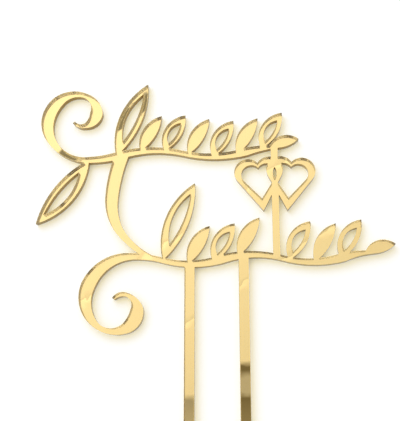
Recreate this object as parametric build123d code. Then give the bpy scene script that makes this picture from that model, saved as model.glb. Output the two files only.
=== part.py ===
"""Cake topper cut from one sheet of gold mirror acrylic, in millimetres.

Two leafy vines lie one above the other, tied together by a bold stem at the left and by a pair of linked
hearts, and two pointed stakes go into the cake. The topper stands upright: +X is to the right as seen from
the front, -Y is the front and +Z is up. The origin is in the plane of the cake's top, midway between the
stakes and half way through the sheet. All layers of the sheet share one outline, which is drawn flat as
complex numbers x + iz.
"""

import os
from cmath import exp, phase
from math import asin, atan2, ceil, cos, floor, log, pi, radians, sin, sqrt

from build123d import *

# Layers of the sheet, from front to back
ACRYLIC_THICKNESS = 2.8
MIRROR_THICKNESS = 0.1
PAINT_THICKNESS = 0.1

# Stakes
STAKE_PITCH = 22.5
STAKE_WIDTH = 4.2
STAKE_DEPTH = 60.0
STAKE_POINT_LENGTH = 9.0
STAKE_POINT_WIDTH = 1.0

# Pen: a stroke is widest where it runs along the slant and a hairline across it, and free ends taper
PEN_SLANT = radians(68)
HAIRLINE = 2.2
DOWNSTROKE = 6.0
TIP_WIDTH = 1.2
TAPER_LENGTH = 12.0

# Waving stems of the two vines, each from one turning point of its wave to another
STEM_SWING = 1.8
LOWER_STEM_HEIGHT = 24.5
LOWER_STEM_START = -35.5
LOWER_STEM_END = 65.0
LOWER_STEM_WAVES = 4
UPPER_STEM_HEIGHT = 71.5
UPPER_STEM_START = -55.5
UPPER_STEM_END = 27.0
UPPER_STEM_WAVES = 3

# Volute at the left of each stem
VOLUTE_RADIUS = 21.5
VOLUTE_EYE = 4.2
VOLUTE_TURNS = 1.15

# Bold stem that ties the vines together: how far in it leaves each stem, on which heading and how far
BOLD_STEM_TOP_INSET = 14.5
BOLD_STEM_TOP_ANGLE = radians(-108)
BOLD_STEM_TOP_REACH = 24.0
BOLD_STEM_FOOT_INSET = 8.0
BOLD_STEM_FOOT_ANGLE = radians(150)
BOLD_STEM_FOOT_REACH = 22.0

# Leaves, fuller on one side by the lean, in rows clear of the stems' ends and set back from the right stake
LEAF_PITCH = 10.5
LEAF_CLEARANCE = 5.5
LEAF_SETBACK = 2.3
LEAF_LEAN = 0.9
RAISED_LEAF_LENGTH = 18.5
RAISED_LEAF_WIDTH = 6.2
RAISED_LEAF_ANGLE = radians(60)
OPEN_LEAF_WIDTH = 7.8
OPEN_LEAF_ROOT = 3.6
OPEN_LEAF_WALL = 2.0
LONG_LEAF_LENGTH = 36.0
LONG_LEAF_WIDTH = 10.0
LONG_LEAF_ANGLE = radians(68)
LONG_LEAF_ROOT = 7.0
LONG_LEAF_WALL = 2.5
DROOPING_LEAF_ANGLE = radians(-128)
END_LEAF_LENGTH = 13.0
END_LEAF_WIDTH = 5.2
END_LEAF_ANGLE = radians(15)
END_LEAF_OVERLAP = 4.0

# Linked hearts, and the stalk that holds them, set in from the end of the upper stem
HEART_HEIGHT = 23.5
HEART_WIDTH = 20.8
HEART_NOTCH = 2.2
HEART_WALL = 2.9
HEART_TIP_HEIGHT = 45.0
HEART_SPREAD = 10.0
HEART_TILT = radians(6)
STALK_WIDTH = 3.0
STALK_INSET = 2.0

# Three points whose bulge is under this share of their span count as straight
STRAIGHT = 1e-4

# Arcs along each side of a volute and of the bold stem
VOLUTE_ARCS = 6
BOLD_STEM_ARCS = 3


def at(point):
    """A complex number as a point of the flat drawing."""
    return (point.real, point.imag)


def curve(points):
    """Edges through an odd number of points: an arc through each three, or a line where they are straight."""
    edges = []
    for a, b, c in zip(points[:-2:2], points[1:-1:2], points[2::2]):
        if abs(((b - a) / (c - a)).imag) < STRAIGHT:
            edges.append(Line(at(a), at(c)))
        else:
            edges.append(ThreePointArc(at(a), at(b), at(c)))
    return edges


def volute_path(start, heading, side):
    """Stations of a log spiral that leaves a point on a heading and winds to the left (1) or right (-1)."""
    rate = complex(log(VOLUTE_EYE / VOLUTE_RADIUS) / (2 * pi * VOLUTE_TURNS), side)
    arm = VOLUTE_RADIUS * exp(1j * (heading - phase(rate)))
    path = []
    for i in range(2 * VOLUTE_ARCS + 1):
        turn = pi * VOLUTE_TURNS * i / VOLUTE_ARCS
        path.append((start + arm * (exp(rate * turn) - 1), heading + side * turn))
    return path


def bezier_path(a, b, c, d, arcs):
    """Stations along a cubic curve given by its four control points."""
    path = []
    for i in range(2 * arcs + 1):
        t = i / (2 * arcs)
        s = 1 - t
        point = a * s**3 + 3 * b * s * s * t + 3 * c * s * t * t + d * t**3
        slope = (b - a) * s * s + 2 * (c - b) * s * t + (d - c) * t * t
        path.append((point, phase(slope)))
    return path


def stroke(path, tapered):
    """Pen stroke along a path of points and headings, narrowed to a tip at both ends if it is tapered."""
    lengths = [0.0]
    for (before, _), (after, _) in zip(path, path[1:]):
        lengths.append(lengths[-1] + abs(after - before))
    left = []
    right = []
    for (point, heading), length in zip(path, lengths):
        width = HAIRLINE + (DOWNSTROKE - HAIRLINE) * cos(heading - PEN_SLANT) ** 2
        if tapered:
            share = min(1, length / TAPER_LENGTH, (lengths[-1] - length) / TAPER_LENGTH)
            width = TIP_WIDTH + (width - TIP_WIDTH) * share
        across = 1j * exp(1j * heading) * width / 2
        left.append(point + across)
        right.append(point - across)
    ends = [Line(at(left[-1]), at(right[-1])), Line(at(right[0]), at(left[0]))]
    return make_face(curve(left) + curve(right) + ends)


def lens(base, tip, left_bulge, right_bulge):
    """Pointed oval between two points, with the bulge of its arc on each side."""
    middle = (base + tip) / 2
    across = 1j * (tip - base) / abs(tip - base)
    left = ThreePointArc(at(base), at(middle + left_bulge * across), at(tip))
    right = ThreePointArc(at(base), at(middle - right_bulge * across), at(tip))
    return make_face([left, right])


def leaf(base, angle, length, width):
    """Closed leaf."""
    return lens(base, base + length * exp(1j * angle), width / 2 + LEAF_LEAN, width / 2 - LEAF_LEAN)


def open_leaf(base, angle, length, width, root, wall):
    """Leaf with an open middle that starts beyond the root and leaves a wall all round."""
    along = exp(1j * angle)
    hole_tip = base + (length - 2 * wall) * along
    hole = lens(base + root * along, hole_tip, width / 2 + LEAF_LEAN - wall, width / 2 - LEAF_LEAN - wall)
    return leaf(base, angle, length, width) - hole


class Stem:
    """Waving stem of a vine, whose wave starts at a crest (1) or a trough (-1)."""

    def __init__(self, height, start, end, waves, first):
        self.height = height
        self.start = start
        self.end = end
        self.waves = waves
        self.first = first
        self.half = (end - start) / waves
        self.bend = (self.half**2 / 4 + STEM_SWING**2) / (2 * STEM_SWING)

    def station(self, x):
        """Point of the stem at x, with its heading."""
        turn = round((x - self.start) / self.half)
        aside = x - self.start - turn * self.half
        side = self.first * (-1) ** turn
        rise = sqrt(self.bend**2 - aside**2)
        point = complex(x, self.height + side * (rise - self.bend + STEM_SWING))
        return point, atan2(-side * aside, rise)

    def point(self, x):
        """Point of the stem at x."""
        return self.station(x)[0]

    def places(self, offset):
        """Evenly spaced x values along the stem, clear of its ends, in line with the offset."""
        first = ceil((self.start + LEAF_CLEARANCE - offset) / LEAF_PITCH)
        last = floor((self.end - LEAF_CLEARANCE - offset) / LEAF_PITCH)
        return [offset + LEAF_PITCH * i for i in range(first, last + 1)]

    def scroll(self):
        """The stem's stroke, with a volute at its left end."""
        inner = [self.start + self.half * (i + 1) / 2 for i in range(2 * self.waves - 1)]
        quarter = self.half / 4
        stem = [self.station(x) for x in (self.start + quarter, *inner, self.end - quarter, self.end)]
        volute = volute_path(self.point(self.start), pi, self.first)
        return stroke([(point, heading + pi) for point, heading in volute[::-1]] + stem, tapered=True)

    def raised_leaves(self, places):
        """Leaves above the stem, in turn closed and open."""
        shapes = []
        for i, x in enumerate(places):
            if i % 2:
                shapes.append(open_leaf(self.point(x), RAISED_LEAF_ANGLE, RAISED_LEAF_LENGTH,
                                        OPEN_LEAF_WIDTH, OPEN_LEAF_ROOT, OPEN_LEAF_WALL))
            else:
                shapes.append(leaf(self.point(x), RAISED_LEAF_ANGLE, RAISED_LEAF_LENGTH, RAISED_LEAF_WIDTH))
        return shapes

    def long_leaf(self, x, angle):
        """Long open leaf near the left end of the stem."""
        return open_leaf(self.point(x), angle, LONG_LEAF_LENGTH,
                         LONG_LEAF_WIDTH, LONG_LEAF_ROOT, LONG_LEAF_WALL)

    def end_leaf(self):
        """Closed leaf at the right end of the stem."""
        base = self.point(self.end - END_LEAF_OVERLAP)
        return leaf(base, END_LEAF_ANGLE, END_LEAF_LENGTH, END_LEAF_WIDTH)


def heart_outline(tip, along, height, width, notch):
    """Heart that stands on its tip along a direction, as a face, and the turn from there to its flanks.

    Its straight flanks run into two round lobes, which meet at a notch of the depth given.
    """
    radius = width / 2 + notch - sqrt(notch * width)
    aside = width / 2 - radius
    rise = height - radius
    arm = abs(complex(rise, aside))
    flank = sqrt(arm**2 - radius**2)
    flank_turn = atan2(aside, rise) + asin(radius / arm)
    crown_turn = (flank_turn + pi / 2 - asin(aside / radius)) / 2
    edges = []
    for side in (1, -1):
        touch = flank * exp(1j * side * flank_turn)
        crown = complex(rise, side * aside) + radius * exp(1j * side * crown_turn)
        points = [at(tip + along * point) for point in (0, touch, crown, height - notch)]
        edges += [Line(*points[:2]), ThreePointArc(*points[1:])]
    return make_face(edges), flank_turn


def heart(tip, along):
    """Outline of a heart, and of the opening that leaves one wall at its flanks, sides and top."""
    outer, flank_turn = heart_outline(tip, along, HEART_HEIGHT, HEART_WIDTH, HEART_NOTCH)
    lift = HEART_WALL / sin(flank_turn)
    height = HEART_HEIGHT - HEART_WALL - lift
    width = HEART_WIDTH - 2 * HEART_WALL
    notch = HEART_NOTCH * width / HEART_WIDTH
    opening, _ = heart_outline(tip + lift * along, along, height, width, notch)
    return outer, opening


def linked_hearts(lower, upper, middle):
    """Two linked hearts on a stalk from one vine to the other, which stops short of their openings."""
    foot = lower.point(middle).imag
    head = upper.point(middle).imag
    stalk = Pos(middle, (foot + head) / 2) * Rectangle(STALK_WIDTH, head - foot)
    rings = []
    for side in (1, -1):
        tip = complex(middle - side * HEART_SPREAD / 2, HEART_TIP_HEIGHT)
        outer, opening = heart(tip, exp(1j * (pi / 2 + side * HEART_TILT)))
        stalk -= opening
        rings.append(outer - opening)
    return [stalk, *rings]


def stake(x, top):
    """Flat stake from the lower stem down to its point."""
    half = STAKE_WIDTH / 2
    half_point = STAKE_POINT_WIDTH / 2
    shoulder = STAKE_POINT_LENGTH - STAKE_DEPTH
    right = [(half, top), (half, shoulder), (half_point, -STAKE_DEPTH)]
    left = [(-across, z) for across, z in right[::-1]]
    return Pos(x, 0) * make_face(Polyline(*right, *left, close=True))


def bold_stem(lower, upper):
    """Curved stem from the upper vine down to the lower one."""
    top = upper.point(upper.start + BOLD_STEM_TOP_INSET)
    foot = lower.point(lower.start + BOLD_STEM_FOOT_INSET)
    top_pull = top + BOLD_STEM_TOP_REACH * exp(1j * BOLD_STEM_TOP_ANGLE)
    foot_pull = foot + BOLD_STEM_FOOT_REACH * exp(1j * BOLD_STEM_FOOT_ANGLE)
    return stroke(bezier_path(top, top_pull, foot_pull, foot, BOLD_STEM_ARCS), tapered=False)


def outline():
    """The whole cut outline, as one flat face."""
    lower = Stem(LOWER_STEM_HEIGHT, LOWER_STEM_START, LOWER_STEM_END, LOWER_STEM_WAVES, 1)
    upper = Stem(UPPER_STEM_HEIGHT, UPPER_STEM_START, UPPER_STEM_END, UPPER_STEM_WAVES, -1)
    stakes = (-STAKE_PITCH / 2, STAKE_PITCH / 2)
    stalk = upper.end - STALK_INSET
    shapes = [stake(x, lower.point(x).imag) for x in stakes]
    shapes += linked_hearts(lower, upper, stalk)
    shapes += [bold_stem(lower, upper), upper.long_leaf(upper.start, DROOPING_LEAF_ANGLE)]

    reach = RAISED_LEAF_LENGTH * cos(RAISED_LEAF_ANGLE)
    for stem in (lower, upper):
        first, *places = stem.places(stakes[1] - LEAF_SETBACK)
        if stem is lower:
            # The leaf that would cross the stalk is left out
            places.remove(min(places, key=lambda x: abs(x + reach / 2 - stalk)))
        shapes += [stem.scroll(), stem.end_leaf(), stem.long_leaf(first, LONG_LEAF_ANGLE)]
        shapes += stem.raised_leaves(places)
    return Sketch() + shapes


def layer(flat, front, thickness):
    """One layer of the sheet, from its front face towards the back."""
    return Plane.XZ.offset(-front) * extrude(flat, -thickness)


flat = outline()
print(len(flat.faces()), "face(s),", len(flat.edges()), "edges")
os.makedirs("parts", exist_ok=True)
front = -(ACRYLIC_THICKNESS + MIRROR_THICKNESS + PAINT_THICKNESS) / 2
for name, thickness in (
    ("acrylic_sheet", ACRYLIC_THICKNESS),
    ("mirror_coat", MIRROR_THICKNESS),
    ("back_coat", PAINT_THICKNESS),
):
    export_step(layer(flat, front, thickness), f"parts/{name}.step")
    front += thickness
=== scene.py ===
"""Looks of a gold mirror acrylic cake topper, with the white table behind it, the light and the camera."""

from math import cos, radians, sin, tan

import bpy
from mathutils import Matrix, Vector


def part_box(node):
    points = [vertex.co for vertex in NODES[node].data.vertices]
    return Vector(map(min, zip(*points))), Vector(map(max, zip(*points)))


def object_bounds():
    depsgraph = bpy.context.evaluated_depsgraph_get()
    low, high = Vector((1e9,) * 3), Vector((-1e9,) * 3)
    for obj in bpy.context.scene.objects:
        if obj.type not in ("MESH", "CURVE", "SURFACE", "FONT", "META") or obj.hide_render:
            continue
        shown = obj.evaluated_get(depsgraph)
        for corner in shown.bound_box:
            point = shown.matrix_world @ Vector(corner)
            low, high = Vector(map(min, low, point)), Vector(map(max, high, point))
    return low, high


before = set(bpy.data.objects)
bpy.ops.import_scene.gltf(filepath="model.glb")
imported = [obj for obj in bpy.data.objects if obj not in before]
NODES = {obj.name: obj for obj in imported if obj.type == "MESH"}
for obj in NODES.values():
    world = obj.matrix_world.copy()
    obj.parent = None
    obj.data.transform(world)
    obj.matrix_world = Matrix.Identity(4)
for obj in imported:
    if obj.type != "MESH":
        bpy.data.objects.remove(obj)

CAD_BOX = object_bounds()
MM = 0.001
WHITE = (1, 1, 1, 1)

# Camera: its angle of view along the frame's long side, and where it stands round the point it looks at
FIELD_OF_VIEW = radians(30)
CAMERA_AZIMUTH = radians(5)
CAMERA_ELEVATION = radians(-15.5)
CAMERA_DISTANCE = 334 * MM
CAMERA_TARGET = Vector((-7.0, 0, 46.0)) * MM

# Patterns, each by the size of its features and its levels of finer detail
WAVES = (18 * MM, 3)
SMUDGES = (9 * MM, 3)
LASER_LINES = (0.25 * MM, 2)
FILM_CLOUDS = (4 * MM, 3)
PAINT_CLOUDS = (12 * MM, 3)
PAINT_MOTTLE = (2.5 * MM, 4)
PAINT_PEEL = (0.45 * MM, 2)

# Parts of the patterns' range of 0 to 1 that the finishes use
PATTERN_RANGE = (0.3, 0.7)
WAVE_RANGE = (0.35, 0.65)
SMUDGE_RANGE = (0.5, 0.75)
PAINT_RANGE = (0.38, 0.62)

# Faces of the sheet, and how near to them a point counts as on them
ACRYLIC_TINT = (1.0, 0.868, 0.563, 1)
ACRYLIC_DEEP = (1.0, 0.858, 0.547, 1)
ACRYLIC_IOR = 1.49
FACE_SKIN = 0.01 * MM
WAVE_HEIGHT = 0.03 * MM
SMUDGE_ROUGHNESS = 0.03

# Laser-cut walls, seen from outside and from within, with corners that the heat rounds a little
EDGE_RADIUS = 0.25 * MM
WALL_TINT = (0.5, 0.32, 0.075, 1)
# Seen from within, the walls take a darker tint, which is painted shade for the dark lines along the edges
WALL_INNER_SHADED_TINT = (0.23, 0.157, 0.04, 1)
WALL_CLEAR = 0.2
WALL_SMOOTH = 0.03
WALL_ROUGH = 0.1
LINE_STRETCH = 0.05
LINE_HEIGHT = 0.004 * MM

# Film and paint on the back
FILM_COLOUR = (0.97, 0.95, 0.9, 1)
FILM_DULL = (0.9, 0.88, 0.83, 1)
FILM_SMOOTH = 0.04
FILM_ROUGH = 0.12
PAINT_COLOUR = (0.42, 0.39, 0.33, 1)
PAINT_DARK = (0.28, 0.257, 0.215, 1)
PAINT_SMOOTH = 0.42
PAINT_ROUGH = 0.6
PEEL_HEIGHT = 0.012 * MM

# White surroundings as the camera sees them
BACKGROUND_LEVEL = 1.0

# The surroundings as they light dull surfaces: the brightest direction, and the levels there and opposite
AMBIENT_SIDE = (radians(-120), radians(40))
AMBIENT_BRIGHT = 1.9
AMBIENT_DIM = 0.3

# Painted reflections: what the mirror shows of the surroundings differs from the light they give dull
# surfaces
# The surroundings as the mirror shows them: brighter towards one side, rising between two cosines to it
BRIGHT_SIDE = (radians(-90), radians(52))
REFLECTED_COSINES = (0.09, 0.47)
REFLECTED_LEVELS = (0.86, 1.33)

# Straight folds and one dark beam in what the mirror shows, each by two directions that it passes, its left
# end first, with the levels beside them
FOLDS = (
    ((radians(-5.8), radians(7.56)), (radians(-1.76), radians(10.14))),
    ((radians(-9.16), radians(12.0)), (radians(-0.8), radians(17.5))),
)
FOLD_DARK = 0.84
FOLD_BRIGHT = 1.22
FOLD_FADE = 0.0075
BEAM = ((radians(-15.65), radians(18.66)), (radians(-11.98), radians(21.35)))
BEAM_LEVEL = 0.22
BEAM_INNER = 0.006
BEAM_OUTER = 0.0105

# Table and floor. A warm glow is part of the table's white, so that shadows take the colour of the gold
# The glow is painted gold light in the shadows, standing in for light bounced off the topper; the bluish
# colour under it adds up to white with the glow
TABLE_COLOUR = (0.4, 0.53, 0.9, 1)
TABLE_PAINTED_WARM_GLOW = (0.65, 0.52, 0.15, 1)
TABLE_SIZE = 1.6
TABLE_GAP = 0.05 * MM
FLOOR_COLOUR = (0.9, 0.9, 0.89, 1)

# Painted contact shadow: the table's glow is dimmed beside the topper by a nearness test, not by light
# The glow dims where the topper, close by, closes off the upper left, from which most light comes: how far
# that reaches, the free shares of that side between which it dims, and the part of the glow that stays
CONTACT_SIDE = (radians(-36), radians(30))
CONTACT_REACH = 6 * MM
CONTACT_RANGE = (0.15, 0.45)
CONTACT_SHADOW_GLOW = 0.4

# Large soft lamp: its power in watts, and its width and place in metres
KEY_POWER = 3.0
KEY_SIZE = 0.7
KEY_PLACE = Vector((-0.45, -0.7, 0.65))

# The card glows in its own colours and only the mirror shows it: its colours are painted reflections
# Dark card behind the camera: its place, its size, and its top edge, which starts low at the left and climbs
# or falls by steps, each with the stretch from left to right that it takes
CARD_Y = -340 * MM
CARD_HALF_WIDTH = 200 * MM
CARD_LOW = -59 * MM
CARD_HIGH = 12 * MM
CARD_TOP = -44 * MM
CARD_MIDDLE = (-30 * MM, -10 * MM)
CARD_STEPS = (
    (-70 * MM, -60 * MM, 27.5 * MM),
    (*CARD_MIDDLE, 27 * MM),
    (20 * MM, 40 * MM, -54.5 * MM),
)
CARD_SOFT = 5 * MM

# Colours of the card: the bar along its foot, its middle with a paler band and the heights where the band
# fades in and out, and its left side
CARD_BAR = (0.18, 0.16, 0.11, 1)
CARD_FOOT = (0.29, 0.27, 0.22, 1)
CARD_DARK = (0.18, 0.162, 0.115, 1)
CARD_PALE = (0.49, 0.49, 0.5, 1)
CARD_PALE_RANGE = (-18.5 * MM, -15 * MM, -3.5 * MM, 3 * MM)
CARD_LEFT_LOW = (0.5, 0.5, 0.5, 1)
CARD_LEFT_HIGH = (0.375, 0.375, 0.37, 1)

# Sockets of a mix node that mixes colours, which share their names with others
MIX_SHARE = 0
MIX_FIRST = 6
MIX_SECOND = 7
MIX_RESULT = 2


def direction(azimuth, elevation):
    """Unit vector from the topper: azimuth 0 is straight in front of it, and grows to its right."""
    level = cos(elevation)
    return Vector((sin(azimuth) * level, -cos(azimuth) * level, sin(elevation)))


def above(left, right):
    """Unit vector square to a straight line through two directions, pointing to the line's upper side."""
    return direction(*left).cross(direction(*right)).normalized()


class Tree:
    """Short ways to add and join nodes."""

    def __init__(self, tree):
        self.tree = tree
        tree.nodes.clear()

    def add(self, kind, inputs=None, **settings):
        """A node with its settings; each input is a value, or a socket to join."""
        node = self.tree.nodes.new(kind)
        for name, value in settings.items():
            setattr(node, name, value)
        for name, value in (inputs or {}).items():
            self.put(node.inputs[name], value)
        return node

    def put(self, socket, value):
        """Sets an input, or joins it to an output."""
        if isinstance(value, bpy.types.NodeSocket):
            self.tree.links.new(value, socket)
        else:
            socket.default_value = value

    def place(self):
        """Where a point lies in its object's frame."""
        return self.add("ShaderNodeTexCoord").outputs["Object"]

    def split(self, vector):
        """The three parts of a vector."""
        return self.add("ShaderNodeSeparateXYZ", {"Vector": vector}).outputs

    def math(self, operation, *values):
        """Result of a sum on numbers."""
        return self.add("ShaderNodeMath", dict(enumerate(values)), operation=operation).outputs["Value"]

    def mean(self, *values):
        """Average of several numbers."""
        total = values[0]
        for value in values[1:]:
            total = self.math("ADD", total, value)
        return self.math("DIVIDE", total, len(values))

    def dot(self, vector, fixed):
        """How far a vector runs along a fixed direction."""
        inputs = {0: vector, 1: fixed}
        return self.add("ShaderNodeVectorMath", inputs, operation="DOT_PRODUCT").outputs["Value"]

    def noise(self, place, size, detail):
        """Soft random pattern, from 0 to 1, with features of a given size."""
        inputs = {"Vector": place, "Scale": 1 / size, "Detail": detail}
        return self.add("ShaderNodeTexNoise", inputs).outputs["Fac"]

    def pick(self, share, first, second):
        """A number between two others."""
        return self.add("ShaderNodeMix", {"Factor": share, "A": first, "B": second}).outputs["Result"]

    def mix(self, share, first, second):
        """A colour between two others."""
        inputs = {MIX_SHARE: share, MIX_FIRST: first, MIX_SECOND: second}
        return self.add("ShaderNodeMix", inputs, data_type="RGBA").outputs[MIX_RESULT]

    def join(self, share, first, second):
        """A shader between two others."""
        return self.add("ShaderNodeMixShader", {0: share, 1: first, 2: second}).outputs["Shader"]

    def span(self, value, low, high, new_low=0.0, new_high=1.0):
        """A number spread from one range to another, and held inside it."""
        inputs = {"Value": value, "From Min": low, "From Max": high, "To Min": new_low, "To Max": new_high}
        return self.add("ShaderNodeMapRange", inputs, clamp=True).outputs["Result"]

    def bump(self, height, distance, **under):
        """Normal of a surface with relief, over another normal where one is given."""
        inputs = {"Height": height, "Distance": distance, **under}
        return self.add("ShaderNodeBump", inputs).outputs["Normal"]

    def white(self, strength):
        """White background of a given strength."""
        inputs = {"Color": WHITE, "Strength": strength}
        return self.add("ShaderNodeBackground", inputs).outputs["Background"]


def new_material(name):
    """A material with an empty node tree, and its output's surface socket."""
    material = bpy.data.materials.new(name)
    material.use_nodes = True
    tree = Tree(material.node_tree)
    surface = tree.add("ShaderNodeOutputMaterial").inputs["Surface"]
    return material, tree, surface


def gold_acrylic():
    """Clear tinted acrylic: polished faces, a mirrored back plane, and cut walls lined by the laser."""
    material, tree, surface = new_material("gold_mirror_acrylic")
    low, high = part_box("acrylic_sheet")
    place = tree.place()
    depth = tree.split(place)["Y"]
    off_middle = tree.math("ABSOLUTE", tree.math("SUBTRACT", depth, (low.y + high.y) / 2))
    wall = tree.math("LESS_THAN", off_middle, (high.y - low.y) / 2 - FACE_SKIN)
    mirrored = tree.math("GREATER_THAN", depth, high.y - FACE_SKIN)
    # Walls seen from within take a darker tint below: painted shade
    within = tree.add("ShaderNodeNewGeometry").outputs["Backfacing"]

    waves = tree.noise(place, *WAVES)
    tint = tree.mix(tree.span(waves, *WAVE_RANGE), ACRYLIC_TINT, ACRYLIC_DEEP)
    smudges = tree.span(tree.noise(place, *SMUDGES), *SMUDGE_RANGE, 0.0, SMUDGE_ROUGHNESS)

    stretch = {0: place, 1: (1, LINE_STRETCH, 1)}
    across = tree.add("ShaderNodeVectorMath", stretch, operation="MULTIPLY").outputs["Vector"]
    lines = tree.noise(across, *LASER_LINES)
    cut = tree.span(lines, *PATTERN_RANGE, WALL_SMOOTH, WALL_ROUGH)

    rounded = tree.add("ShaderNodeBevel", {"Radius": EDGE_RADIUS}).outputs["Normal"]
    wavy = tree.bump(waves, WAVE_HEIGHT, Normal=rounded)
    lined = tree.bump(tree.math("MULTIPLY", lines, wall), LINE_HEIGHT, Normal=wavy)
    shader = tree.add("ShaderNodeBsdfPrincipled", {
        "Base Color": tree.mix(wall, tint, tree.mix(within, WALL_TINT, WALL_INNER_SHADED_TINT)),
        "Metallic": mirrored,
        "Roughness": tree.pick(wall, smudges, cut),
        "IOR": ACRYLIC_IOR,
        "Normal": lined,
        "Transmission Weight": tree.pick(wall, 1.0, WALL_CLEAR),
    })
    tree.put(surface, shader.outputs["BSDF"])
    return material


def mirror_film():
    """Metal film on the back of the acrylic, a little cloudy."""
    material, tree, surface = new_material("silver_film")
    cloud = tree.noise(tree.place(), *FILM_CLOUDS)
    shader = tree.add("ShaderNodeBsdfPrincipled", {
        "Base Color": tree.mix(cloud, FILM_COLOUR, FILM_DULL),
        "Metallic": 1.0,
        "Roughness": tree.span(cloud, *PATTERN_RANGE, FILM_SMOOTH, FILM_ROUGH),
    })
    tree.put(surface, shader.outputs["BSDF"])
    return material


def back_paint():
    """Sprayed paint over the film: fine peel, and coats that vary a little."""
    material, tree, surface = new_material("sprayed_paint")
    place = tree.place()
    cloud = tree.noise(place, *PAINT_CLOUDS)
    mottle = tree.noise(place, *PAINT_MOTTLE)
    peel = tree.noise(place, *PAINT_PEEL)
    shade = tree.span(tree.mean(cloud, mottle, peel), *PAINT_RANGE)
    shader = tree.add("ShaderNodeBsdfPrincipled", {
        "Base Color": tree.mix(shade, PAINT_COLOUR, PAINT_DARK),
        "Roughness": tree.span(cloud, *PATTERN_RANGE, PAINT_SMOOTH, PAINT_ROUGH),
        "Normal": tree.bump(peel, PEEL_HEIGHT),
    })
    tree.put(surface, shader.outputs["BSDF"])
    return material


def table_white():
    """White table that shows from its front side only, with a glow that dims close beside the topper as
    painted shadow.
    """
    material, tree, surface = new_material("table_white")
    side = tree.add("ShaderNodeCombineXYZ", dict(zip("XYZ", direction(*CONTACT_SIDE)))).outputs["Vector"]
    around = {"Distance": CONTACT_REACH, "Normal": side}
    free = tree.add("ShaderNodeAmbientOcclusion", around).outputs["AO"]
    # Painted shadow: the glow is dimmed where the topper is close by
    strength = tree.span(free, *CONTACT_RANGE, CONTACT_SHADOW_GLOW, 1.0)
    glow = tree.add("ShaderNodeEmission", {"Color": TABLE_PAINTED_WARM_GLOW, "Strength": strength}).outputs["Emission"]
    dull = tree.add("ShaderNodeBsdfDiffuse", {"Color": TABLE_COLOUR}).outputs["BSDF"]
    lit = tree.add("ShaderNodeAddShader", {0: dull, 1: glow}).outputs["Shader"]
    clear = tree.add("ShaderNodeBsdfTransparent").outputs["BSDF"]
    behind = tree.add("ShaderNodeNewGeometry").outputs["Backfacing"]
    tree.put(surface, tree.join(behind, lit, clear))
    return material


def floor_white():
    """Pale floor."""
    material, tree, surface = new_material("floor_white")
    tree.put(surface, tree.add("ShaderNodeBsdfDiffuse", {"Color": FLOOR_COLOUR}).outputs["BSDF"])
    return material


def plane(name, corners, material):
    """Flat stage piece through its corners, which run anticlockwise on the side that it faces."""
    mesh = bpy.data.meshes.new(name)
    mesh.from_pydata(corners, [], [range(len(corners))])
    mesh.materials.append(material)
    piece = bpy.data.objects.new(name, mesh)
    bpy.context.scene.collection.objects.link(piece)
    return piece


def upright(half, y, low, high):
    """Corners of an upright rectangle that faces the front."""
    return [(-half, y, low), (half, y, low), (half, y, high), (-half, y, high)]


def flat(half, z):
    """Corners of a level square that faces up."""
    return [(-half, -half, z), (half, -half, z), (half, half, z), (-half, half, z)]


def stage():
    """The white table behind the topper, and a floor at the tips of its stakes."""
    half = TABLE_SIZE / 2
    low, high = CAD_BOX
    table = plane("table", upright(half, high.y + TABLE_GAP, low.z, half), table_white())
    table.visible_shadow = False
    table.visible_diffuse = False
    floor = plane("floor", flat(half, low.z), floor_white())
    floor.visible_diffuse = False


def reflected_level(tree, toward):
    """Painted reflections: brightness that the mirror shows in a direction, with the folds and the beam."""
    share = tree.dot(toward, direction(*BRIGHT_SIDE))
    brightness = tree.span(share, *REFLECTED_COSINES, *REFLECTED_LEVELS)
    for fold in FOLDS:
        edge = tree.dot(toward, above(*fold))
        over = tree.span(edge, 0.0, FOLD_FADE, FOLD_DARK, 1.0)
        under = tree.span(edge, -FOLD_FADE, 0.0, 1.0, FOLD_BRIGHT)
        step = tree.pick(tree.math("GREATER_THAN", edge, 0.0), under, over)
        brightness = tree.math("MULTIPLY", brightness, step)
    off_beam = tree.math("ABSOLUTE", tree.dot(toward, above(*BEAM)))
    dimmed = tree.span(off_beam, BEAM_INNER, BEAM_OUTER, BEAM_LEVEL, 1.0)
    return tree.math("MULTIPLY", brightness, dimmed)


def surroundings():
    """White all round: plain to the camera, with painted shading in reflections, and uneven as light on dull
    surfaces.
    """
    world = bpy.data.worlds.new("surroundings")
    bpy.context.scene.world = world
    world.use_nodes = True
    tree = Tree(world.node_tree)
    surface = tree.add("ShaderNodeOutputWorld").inputs["Surface"]
    path = tree.add("ShaderNodeLightPath").outputs
    toward = tree.add("ShaderNodeTexCoord").outputs["Generated"]
    light = tree.span(tree.dot(toward, direction(*AMBIENT_SIDE)), -1.0, 1.0, AMBIENT_DIM, AMBIENT_BRIGHT)
    ambient = tree.white(light)
    reflected = tree.white(reflected_level(tree, toward))
    seen = tree.white(BACKGROUND_LEVEL)
    mirrored = tree.math("MAXIMUM", path["Is Glossy Ray"], path["Is Transmission Ray"])
    unseen = tree.join(mirrored, ambient, reflected)
    tree.put(surface, tree.join(path["Is Camera Ray"], unseen, seen))


def card_colour(tree, across, height):
    """Colour of the dark card: a bar along its foot, a paler band in the middle, and a paler left side."""
    # These colours are painted reflections, which only the mirror shows
    low_out, low_in, high_in, high_out = CARD_PALE_RANGE
    pale = tree.math(
        "MULTIPLY",
        tree.span(height, low_out, low_in),
        tree.span(height, high_in, high_out, 1.0, 0.0),
    )
    over_bar = tree.math("GREATER_THAN", height, CARD_TOP)
    climb = tree.span(height, CARD_TOP, low_out)
    middle = tree.mix(over_bar, CARD_BAR, tree.mix(climb, CARD_FOOT, CARD_DARK))
    left = tree.mix(over_bar, CARD_BAR, tree.mix(climb, CARD_LEFT_LOW, CARD_LEFT_HIGH))
    return tree.mix(tree.span(across, *CARD_MIDDLE), left, tree.mix(pale, middle, CARD_PALE))


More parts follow.
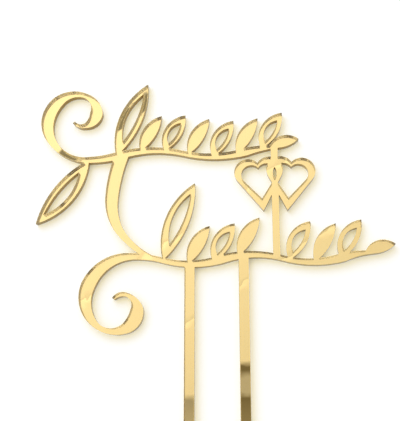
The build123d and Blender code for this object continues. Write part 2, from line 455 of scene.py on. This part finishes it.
def dark_card():
    """Glowing card that only the mirror shows, as painted reflections, soft along its stepped top edge."""
    material, tree, surface = new_material("dark_card")
    parts = tree.split(tree.place())
    across = parts["X"]
    height = parts["Z"]
    top = CARD_TOP
    for left, right, climb in CARD_STEPS:
        top = tree.math("ADD", top, tree.span(across, left, right, 0.0, climb))
    cover = tree.span(tree.math("SUBTRACT", top, height), 0.0, CARD_SOFT)
    colour = card_colour(tree, across, height)
    glow = tree.add("ShaderNodeEmission", {"Color": colour}).outputs["Emission"]
    clear = tree.add("ShaderNodeBsdfTransparent").outputs["BSDF"]
    tree.put(surface, tree.join(cover, clear, glow))
    card = plane("dark_card", upright(CARD_HALF_WIDTH, CARD_Y, CARD_LOW, CARD_HIGH), material)
    card.visible_camera = False
    card.visible_diffuse = False
    card.visible_shadow = False


def key_light():
    """Large soft light from the upper left in front."""
    light = bpy.data.lights.new("key", "AREA")
    light.energy = KEY_POWER
    light.size = KEY_SIZE
    lamp = bpy.data.objects.new("key", light)
    lamp.location = KEY_PLACE
    lamp.rotation_mode = "QUATERNION"
    lamp.rotation_quaternion = (CAMERA_TARGET - KEY_PLACE).to_track_quat("-Z", "Y")
    bpy.context.scene.collection.objects.link(lamp)
    lamp.visible_glossy = False
    lamp.visible_transmission = False


def camera():
    """The camera at the photograph's viewing angle."""
    lens = bpy.data.cameras.new("camera")
    lens.lens = lens.sensor_width / 2 / tan(FIELD_OF_VIEW / 2)
    lens.clip_start = MM
    eye = bpy.data.objects.new("camera", lens)
    back = direction(CAMERA_AZIMUTH, CAMERA_ELEVATION)
    eye.location = CAMERA_TARGET + CAMERA_DISTANCE * back
    eye.rotation_mode = "QUATERNION"
    eye.rotation_quaternion = (-back).to_track_quat("-Z", "Y")
    bpy.context.scene.collection.objects.link(eye)
    bpy.context.scene.camera = eye


finishes = {
    "acrylic_sheet": gold_acrylic(),
    "mirror_coat": mirror_film(),
    "back_coat": back_paint(),
}
for name, material in finishes.items():
    NODES[name].material_slots[0].material = material

# The back plane of the acrylic does the mirroring, so the film shows only at its own edges
NODES["mirror_coat"].visible_transmission = False
NODES["mirror_coat"].visible_glossy = False

stage()
dark_card()
surroundings()
key_light()
camera()
bpy.context.scene.view_settings.view_transform = "Standard"
